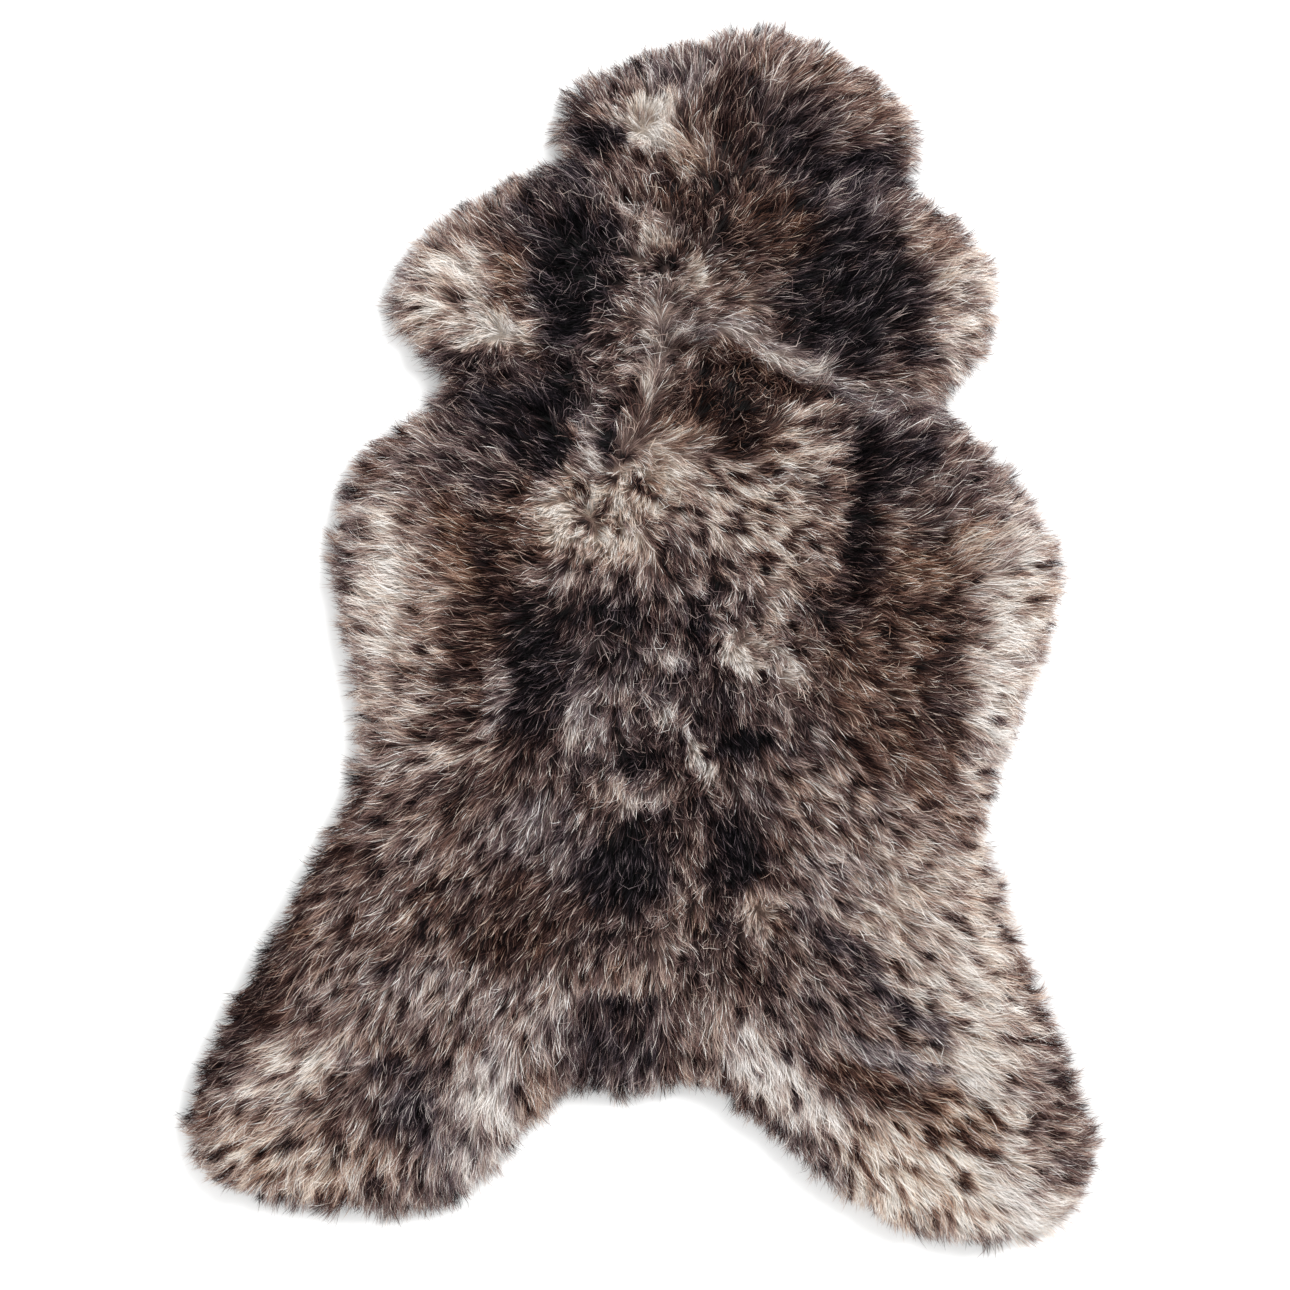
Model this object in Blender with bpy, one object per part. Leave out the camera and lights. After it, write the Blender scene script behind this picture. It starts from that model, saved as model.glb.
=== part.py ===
"""A sheepskin: one whole tanned pelt lying flat on the floor, wool side up.

The pelt has two solids. The hide is the thin skin underneath, trimmed a little inside the edge
of the wool. The fleece is the wool that grows from it: a lumpy slab that bulges over the hide's
edge, folds into soft troughs and ends all round in a rim of pointed locks that lie on the floor.

Sizes in the tables are millimetres, and everything else is metres. +Y runs up the spine to the
neck, +X is the right hand of someone who looks down on the wool with the neck away from them,
and the floor is z = 0.
"""

import math
from collections import namedtuple

import bmesh
import bpy
import numpy as np
from mathutils import Vector, noise
from mathutils.geometry import delaunay_2d_cdt

MM = 0.001

# Driving sizes
PILE_HEIGHT = 0.040
RIM_ROUNDING = 0.043
HIDE_THICKNESS = 0.0025
HIDE_INSET = 0.026
POCKET_CLEARANCE = 0.0005
SLAB_CELL = 0.0122

# The locks round the rim
LOCK_WIDTH = 0.0128
LOCK_ROOT = 0.011
LOCK_REACH = 0.007
LOCK_REACH_VARIES = 0.009
LOCK_LEAN = 0.006
LOCK_BACK = {"knee": 0.005, "crest": 0.017}
OPEN_SPACE = 0.020

# The lumps in the wool: each is a size across and a height
LUMPS = {"tussocks": (0.065, 0.0060), "tufts": (0.032, 0.0050)}
LEAST_HEIGHT = 0.009

WOOL_COLOUR = (0.16, 0.125, 0.105, 1.0)
HIDE_COLOUR = (0.62, 0.53, 0.42, 1.0)

# The edge of the wool, clockwise. Each lobe runs from one notch to the next, as (x, y).
LOBES = {
    "neck": [
        (-145, 386), (-154, 410), (-143, 445), (-100, 472), (-40, 497), (20, 508),
        (95, 491), (137, 457), (148, 415), (143, 396),
    ],
    "right foreleg": [
        (143, 396), (190, 366), (220, 335), (228, 290), (219, 250), (193, 214),
    ],
    "right flank and hind leg": [
        (193, 214), (250, 164), (298, 104), (309, 62), (295, -5), (273, -90), (264, -135),
        (282, -182), (322, -262), (368, -342), (385, -400), (362, -455), (300, -485),
        (225, -478), (150, -440), (85, -396), (53, -378),
    ],
    "tail": [
        (53, -378), (25, -382), (-30, -393), (-60, -389),
    ],
    "left hind leg and flank": [
        (-60, -389), (-98, -441), (-140, -492), (-195, -509), (-285, -512), (-345, -500),
        (-376, -445), (-352, -355), (-310, -255), (-272, -165), (-266, -110), (-293, -20),
        (-306, 48), (-292, 115), (-222, 184),
    ],
    "left foreleg": [
        (-222, 184), (-262, 220), (-279, 263), (-245, 318), (-190, 358), (-145, 386),
    ],
}

# The folds in the wool. The rise is the height that a fold adds along its route, so it is less
# than nothing for a trough, and the width is how far it fades out on each side.
Fold = namedtuple("Fold", "route width rise")
FOLDS = {
    "neck trough, left": Fold([(-145, 386), (-95, 400), (-40, 384)], 15, -12),
    "neck trough, right": Fold([(143, 396), (95, 403), (45, 394)], 14, -9),
    "waist trough, left": Fold([(-222, 184), (-130, 221), (-80, 228), (-23, 234)], 13, -14),
    "waist trough, right": Fold([(-23, 234), (20, 223), (72, 212), (122, 211), (193, 214)], 12, -14),
    "waist ridge": Fold([(-15, 254), (35, 243), (80, 231), (112, 222)], 11, 5),
    "withers trough": Fold([(-80, 184), (-83, 112)], 13, -9),
    "withers ridge": Fold([(-102, 180), (-101, 122)], 12, 4),
    "back whorl": Fold([(-92, 90), (-86, 86)], 14, -10),
    "shoulder step": Fold([(126, 205), (124, 120), (130, 40)], 14, -8),
    "loin trough": Fold([(-95, -142), (-45, -120), (0, -112), (38, -128)], 12, -9),
    "rump parting": Fold([(10, -165), (18, -230), (28, -300)], 13, -6),
    "tail trough": Fold([(-62, -338), (-25, -306), (20, -300), (36, -324), (53, -378)], 13, -10),
    "tail side": Fold([(-62, -338), (-62, -389)], 11, -8),
}


def smooth_line(points, spacing):
    """Points about that far apart on a smooth curve through the given ones."""
    line = [Vector(p) for p in points]
    line = [2 * line[0] - line[1], *line, 2 * line[-1] - line[-2]]
    fine = []
    for a, b, c, d in zip(line, line[1:], line[2:], line[3:]):
        steps = max(2, math.ceil((c - b).length / spacing * 8))
        for i in range(steps):
            t = i / steps
            fine.append(
                0.5
                * (
                    2 * b
                    + (c - a) * t
                    + (2 * a - 5 * b + 4 * c - d) * t**2
                    + (3 * b - a - 3 * c + d) * t**3
                )
            )
    fine.append(line[-2])
    fine = np.array(fine)
    along = np.concatenate([[0], np.cumsum(np.linalg.norm(np.diff(fine, axis=0), axis=1))])
    at = np.linspace(0, along[-1], max(2, round(along[-1] / spacing) + 1))
    return np.stack([np.interp(at, along, fine[:, k]) for k in range(2)], axis=1)


def wool_edge(spacing):
    """The whole edge of the wool as one closed loop, clockwise, with its outward directions."""
    lobes = [smooth_line(np.array(points) * MM, spacing)[:-1] for points in LOBES.values()]
    loop = np.concatenate(lobes)
    along = np.roll(loop, -1, axis=0) - np.roll(loop, 1, axis=0)
    along /= np.linalg.norm(along, axis=1)[:, None]
    outward = np.stack([-along[:, 1], along[:, 0]], axis=1)
    return loop, outward


def distance_to(points, line):
    """How far each point is from a line of straight pieces."""
    start, piece = line[:-1], np.diff(line, axis=0)
    away = points[:, None] - start
    share = np.clip((away * piece).sum(2) / (piece * piece).sum(1), 0, 1)
    return np.linalg.norm(away - share[..., None] * piece, axis=2).min(1)


def inside(points, loop):
    """Which points lie inside a closed loop."""
    a, b = loop, np.roll(loop, -1, axis=0)
    x, y = points[:, :1], points[:, 1:]
    crosses = (a[:, 1] > y) != (b[:, 1] > y)
    run = b[:, 1] - a[:, 1]
    at = a[:, 0] + (y - a[:, 1]) * (b[:, 0] - a[:, 0]) / np.where(run == 0, 1, run)
    return (crosses & (x < at)).sum(1) % 2 == 1


def fleece_height(points):
    """The height of the wool over the floor at points inside its edge."""
    loop, _ = wool_edge(0.008)
    depth = distance_to(points, np.vstack([loop, loop[:1]]))
    fullness = np.clip(depth / RIM_ROUNDING, 0, 1)
    height = PILE_HEIGHT * np.sqrt(1 - (1 - fullness) ** 2)
    for layer, (across, rise) in enumerate(LUMPS.values()):
        lumps = [noise.noise(Vector((x / across, y / across, layer))) for x, y in points]
        height += rise * np.array(lumps) * fullness
    for fold in FOLDS.values():
        route = smooth_line(np.array(fold.route) * MM, 0.01)
        near = np.exp(-((distance_to(points, route) / (fold.width * MM)) ** 2))
        height += fold.rise * MM * near
    return np.maximum(height, LEAST_HEIGHT)


def rim_of_locks():
    """The edge of the slab, which is a root and then a tip for each lock, and the locks' backs."""
    loop, outward = wool_edge(LOCK_WIDTH / 2)
    if len(loop) % 2:
        loop, outward = loop[:-1], outward[:-1]
    roots = loop[::2] - outward[::2] * LOCK_ROOT
    middle, away = loop[1::2], outward[1::2]
    sideways = np.stack([away[:, 1], -away[:, 0]], axis=1)
    longer = np.array([noise.noise(Vector((i * 1.46, 0.5, 7.0))) for i in range(len(middle))])
    lean = np.array([noise.noise(Vector((i * 0.22, 4.5, 3.0))) for i in range(len(middle))])
    ahead = middle + away * OPEN_SPACE
    room = distance_to(ahead, np.vstack([loop, loop[:1]])) / OPEN_SPACE
    room = np.where(inside(ahead, loop), 0, np.minimum(room, 1))[:, None]
    reach = np.maximum(LOCK_REACH + LOCK_REACH_VARIES * longer, 0)[:, None]
    tips = middle + room * (away * reach + sideways * LOCK_LEAN * lean[:, None])
    zigzag = np.stack([roots, tips], axis=1).reshape(-1, 2)
    return zigzag, middle - away * LOCK_BACK["knee"], middle - away * LOCK_BACK["crest"]


def slab_points(crests):
    """Points spread over the slab in offset rows, clear of its rim of locks."""
    low, high = crests.min(0), crests.max(0)
    row_step = SLAB_CELL * math.sqrt(3) / 2
    rows = np.arange(low[1], high[1], row_step)
    spread = []
    for i, y in enumerate(rows):
        start = low[0] + (i % 2) * SLAB_CELL / 2
        spread += [(x, y) for x in np.arange(start, high[0], SLAB_CELL)]
    spread = np.array(spread)
    closed = np.vstack([crests, crests[:1]])
    clear = distance_to(spread, closed) > SLAB_CELL * 0.7
    return spread[inside(spread, crests) & clear]


def make_fleece():
    """The wool: a flat underside, a lumpy top, and locks that run out to the zigzag edge."""
    zigzag, knees, crests = rim_of_locks()
    top = np.vstack([knees, crests, slab_points(crests)])
    plan = np.vstack([zigzag, top])
    ring, count = list(range(len(zigzag))), len(crests)
    backs = []
    for i in range(count):
        tip, knee = 2 * i + 1, 2 * count + i
        backs += [(tip, knee), (knee, knee + count)]
    found, _, triangles, *_ = delaunay_2d_cdt([Vector(p) for p in plan], backs, [ring], 1, 1e-7)
    if len(found) != len(plan):
        raise ValueError("two points of the slab's plan fell together")
    heights = np.concatenate([np.zeros(len(zigzag)), fleece_height(top)])

    shape = bmesh.new()
    points = [shape.verts.new((p.x, p.y, z)) for p, z in zip(found, heights)]
    for corners in triangles:
        shape.faces.new([points[i] for i in corners])
    underside = [e for e in shape.edges if e.is_boundary]
    bmesh.ops.contextual_create(shape, geom=underside)
    bmesh.ops.recalc_face_normals(shape, faces=shape.faces)
    mesh = bpy.data.meshes.new("fleece")
    shape.to_mesh(mesh)
    shape.free()
    fleece = bpy.data.objects.new("fleece", mesh)
    fleece.data.shade_smooth()
    fleece.data.set_sharp_from_angle(angle=math.radians(60))
    return fleece


def flat_cut(name, inset, low, high):
    """The outline of the wool drawn in by an inset, as a flat sheet between two heights."""
    loop, outward = wool_edge(0.018)
    curve = bpy.data.curves.new(name, "CURVE")
    curve.dimensions = "2D"
    curve.fill_mode = "BOTH"
    curve.extrude = (high - low) / 2
    spline = curve.splines.new("POLY")
    spline.points.add(len(loop) - 1)
    for point, (x, y) in zip(spline.points, loop - outward * inset):
        point.co = (x, y, 0, 1)
    spline.use_cyclic_u = True
    sheet = bpy.data.objects.new(name, curve)
    sheet.location.z = (high + low) / 2
    return sheet


def as_mesh(curve_object, collection):
    """The curve as a welded mesh object, in the curve's place."""
    collection.objects.link(curve_object)
    bpy.context.view_layer.update()
    evaluated = curve_object.evaluated_get(bpy.context.evaluated_depsgraph_get())
    mesh = bpy.data.meshes.new_from_object(evaluated)
    shape = bmesh.new()
    shape.from_mesh(mesh)
    bmesh.ops.remove_doubles(shape, verts=shape.verts, dist=1e-6)
    bmesh.ops.recalc_face_normals(shape, faces=shape.faces)
    shape.to_mesh(mesh)
    shape.free()
    solid = bpy.data.objects.new(curve_object.name + "_solid", mesh)
    solid.matrix_world = curve_object.matrix_world
    collection.objects.link(solid)
    bpy.data.objects.remove(curve_object)
    return solid


def seat_on_hide(fleece, cutters):
    """Cuts the shallow pocket that the hide lies in out of the underside of the fleece."""
    below = -0.002
    pocket = flat_cut("pocket", HIDE_INSET - POCKET_CLEARANCE, below, HIDE_THICKNESS + POCKET_CLEARANCE)
    cutter = as_mesh(pocket, cutters)
    cutter.hide_render = True
    cutter.display_type = "WIRE"
    cut = fleece.modifiers.new("hide pocket", "BOOLEAN")
    cut.operation = "DIFFERENCE"
    cut.solver = "EXACT"
    cut.object = cutter


def finish(thing, name, colour, roughness):
    material = bpy.data.materials.new(name)
    material.use_nodes = True
    shader = material.node_tree.nodes["Principled BSDF"]
    shader.inputs["Base Color"].default_value = colour
    shader.inputs["Roughness"].default_value = roughness
    shader.inputs["Metallic"].default_value = 0.0
    material.diffuse_color = colour
    thing.data.materials.append(material)


def new_collection(name):
    collection = bpy.data.collections.new(name)
    bpy.context.scene.collection.children.link(collection)
    return collection


def main():
    for thing in list(bpy.data.objects):
        bpy.data.objects.remove(thing)
    pelt = new_collection("sheepskin")
    cutters = new_collection("cutters")

    hide = flat_cut("hide", HIDE_INSET, 0.0, HIDE_THICKNESS)
    finish(hide, "tanned hide", HIDE_COLOUR, 0.85)
    pelt.objects.link(hide)

    fleece = make_fleece()
    finish(fleece, "wool", WOOL_COLOUR, 0.9)
    pelt.objects.link(fleece)
    seat_on_hide(fleece, cutters)


main()
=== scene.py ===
"""The looks of the sheepskin: its combed, mottled wool, its suede underside, the floor and light.

The tables of headings, whorls, patches, ruffles and wisps are in millimetres and degrees, and
everything else is in metres. +Y runs up the spine to the neck and the floor is z = 0.
"""

import math
from collections import namedtuple

import bmesh
import bpy
import numpy as np
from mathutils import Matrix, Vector, noise
from mathutils.bvhtree import BVHTree
from mathutils.geometry import delaunay_2d_cdt


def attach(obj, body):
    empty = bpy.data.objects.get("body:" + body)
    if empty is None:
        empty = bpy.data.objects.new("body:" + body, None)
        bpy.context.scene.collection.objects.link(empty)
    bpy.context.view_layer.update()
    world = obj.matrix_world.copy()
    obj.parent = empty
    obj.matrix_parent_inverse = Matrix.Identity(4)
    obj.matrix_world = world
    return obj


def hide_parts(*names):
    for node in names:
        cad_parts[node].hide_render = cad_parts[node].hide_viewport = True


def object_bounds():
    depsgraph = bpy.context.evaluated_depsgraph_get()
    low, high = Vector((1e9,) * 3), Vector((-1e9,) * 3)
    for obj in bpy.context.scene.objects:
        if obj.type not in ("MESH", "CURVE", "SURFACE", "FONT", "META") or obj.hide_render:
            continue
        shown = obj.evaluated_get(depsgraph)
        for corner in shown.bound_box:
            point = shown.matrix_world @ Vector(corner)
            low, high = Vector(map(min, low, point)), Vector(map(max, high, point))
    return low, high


MM = 0.001

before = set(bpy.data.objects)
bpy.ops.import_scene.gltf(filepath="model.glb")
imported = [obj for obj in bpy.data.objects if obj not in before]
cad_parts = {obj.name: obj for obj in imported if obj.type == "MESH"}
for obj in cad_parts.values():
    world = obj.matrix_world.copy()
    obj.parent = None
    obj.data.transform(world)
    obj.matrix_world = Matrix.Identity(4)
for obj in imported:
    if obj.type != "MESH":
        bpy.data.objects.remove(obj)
cad_low, cad_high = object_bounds()
rng = np.random.default_rng(11)

# The camera, straight over the pelt, which lies 6 degrees off upright in its view
CAMERA_AT = (-0.0345, -0.0145, 3.02)
CAMERA_ROLL = 6.0
CAMERA_LENS = 100.0

# The lamps, which point at the middle of the pelt, the even light of the room, and the floor
Lamp = namedtuple("Lamp", "name place size power")
LAMPS = [
    Lamp("key light", (1.5, 1.9, 2.6), 1.6, 110),
    Lamp("fill light", (-2.2, 0.6, 2.6), 2.4, 26),
    Lamp("low light", (0.4, -2.6, 2.0), 2.0, 20),
]
ROOM_LIGHT = 0.8
FLOOR_SIZE = 12

# The grid that the pelt's fields are kept on, and how many points are worked out at a time
GRID_STEP = 0.0025
GRID_MARGIN = 0.03
BATCH = 4000

# Small measures: points to merge, faces on the floor, a step off a loop, and next to nothing
MERGE = 1e-6
ON_FLOOR = 1e-4
PROBE = 0.002
TINY = 1e-12

# The height of the wool's tips: a rounded edge at the rim, and the CAD slab's blurred top further in
PILE_HEIGHT = 0.040
PILE_ROUNDING = 0.045
PILE_PROUD = 0.006
PILE_LIFT = 0.002
SLAB_FROM, SLAB_FULL = 0.010, 0.022
TOP_BLUR, SLOPE_BLUR = 3, 6

# The under layer that the strands grow from: how far it lies below the pile and inside the rim,
# how closely its points are set, how rough it is, and how its underside lifts over the hide
UNDER_SINK = 0.015
UNDER_LEAST = 0.003
UNDER_INSET = 0.009
UNDER_ROUNDING = 0.034
RING_STEP, RING_HEIGHT = 0.007, 0.0018
TOP_STEP, TOP_CLEAR = 0.0075, 0.004
LEAST_TOP = 0.0045
ROUGHNESS, ROUGH_SCALE = 0.06, 0.010
UNDERSIDE_STEP, UNDERSIDE_CLEAR = 0.018, 0.006
UNDERSIDE_HEIGHT, HIDE_LIFT = 0.0010, 0.0024
LIFT_FROM, LIFT_FULL = 0.015, 0.021

# The least angles at which the skin's edges are eased, and at which they look sharp
CORNER, CREASE = math.radians(60), math.radians(40)

# Which way the wool is combed at a place on the pelt, anticlockwise from +X
Comb = namedtuple("Comb", "x y heading")
COMBED = [Comb(*row) for row in [
    # The crown
    (-140, 430, 145), (-110, 465, 132), (-50, 490, 112), (20, 500, 58),
    (90, 485, 18), (50, 472, 32), (135, 450, 14), (140, 410, 2),
    (-75, 425, 120), (0, 440, 76), (70, 440, 20), (-130, 400, 165),
    (100, 400, 8),
    # The left foreleg and shoulder
    (-200, 340, 125), (-250, 280, 155), (-280, 255, 180), (-255, 215, 205),
    (-225, 190, 225), (-150, 320, 140), (-150, 260, 180), (-100, 340, 125),
    (-85, 290, 165), (-100, 240, 200), (-40, 340, 95), (-15, 290, 15),
    # The right foreleg and shoulder
    (100, 380, 50), (200, 330, 15), (200, 260, -5), (195, 228, -25),
    (60, 330, 35), (120, 300, 38), (50, 280, 0), (100, 270, 50),
    (150, 265, 8), (20, 255, -35),
    # The left side
    (-190, 155, 157), (-130, 170, 150), (-280, 50, 172), (-250, -30, 165),
    (-240, -100, 180), (-200, 60, 165), (-150, 20, 175), (-180, -60, 180),
    (-200, -150, 215), (-150, -200, 238), (-100, -100, 252), (-60, -90, 268),
    (-120, -30, 215), (-70, 20, 260),
    # The back and the right side
    (0, 190, 50), (40, 180, 20), (60, 100, -10), (100, 60, -25),
    (0, 120, -30), (10, 40, -60), (200, 0, 0), (280, 60, 8),
    (220, 110, 30), (160, 150, 35), (200, -80, -20), (100, -120, -38),
    (120, -160, -40), (90, 0, -30), (140, 60, -5), (230, -150, -12),
    (200, -230, -22),
    # The rump
    (0, -60, 275), (40, -60, -65), (-20, -150, 262), (30, -170, -70),
    (-60, -220, 240), (50, -240, -60),
    # The left hind leg
    (-250, -300, 228), (-300, -400, 214), (-340, -450, 220), (-250, -480, 255),
    (-170, -480, 268), (-200, -350, 248), (-150, -400, 250), (-100, -420, 275),
    (-80, -400, 290), (-130, -300, 252),
    # The tail
    (-20, -360, 268), (-20, -310, 265),
    # The right hind leg
    (60, -300, -70), (120, -330, -55), (100, -370, -75), (195, -430, -54),
    (250, -460, -65), (300, -400, -17), (250, -415, -34), (350, -380, -4),
    (330, -300, -8), (160, -260, -36), (288, -470, -46), (335, -450, -12),
    (230, -340, -20), (250, -300, -14), (195, -305, -24),
]]
COMB_BLEND = 0.020

# How strongly the wool turns outward near the rim, and downhill further in
RIM_PULL, RIM_PULL_DEPTH = 0.9, 0.014
DOWNHILL, DOWNHILL_FROM, DOWNHILL_FULL = 0.45, 0.020, 0.040

# The whorls that the wool lies away from, and how upright it stands in and round them
Whorl = namedtuple("Whorl", "x y size strength turn")
WHORLS = [
    Whorl(-95, 85, 24, 2.2, 20), Whorl(-56, 120, 15, 1.5, -30), Whorl(-47, 306, 22, 1.5, 15),
    Whorl(-185, 232, 24, 1.3, 30), Whorl(-85, 415, 22, 1.4, -25), Whorl(45, -5, 18, 1.5, 20),
    Whorl(15, -100, 18, 1.2, -15), Whorl(85, -228, 18, 1.5, 20),
]
WHORL_EYE = 0.008
UPRIGHT, UPRIGHT_SIZES = 0.72, 1.4

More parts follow.
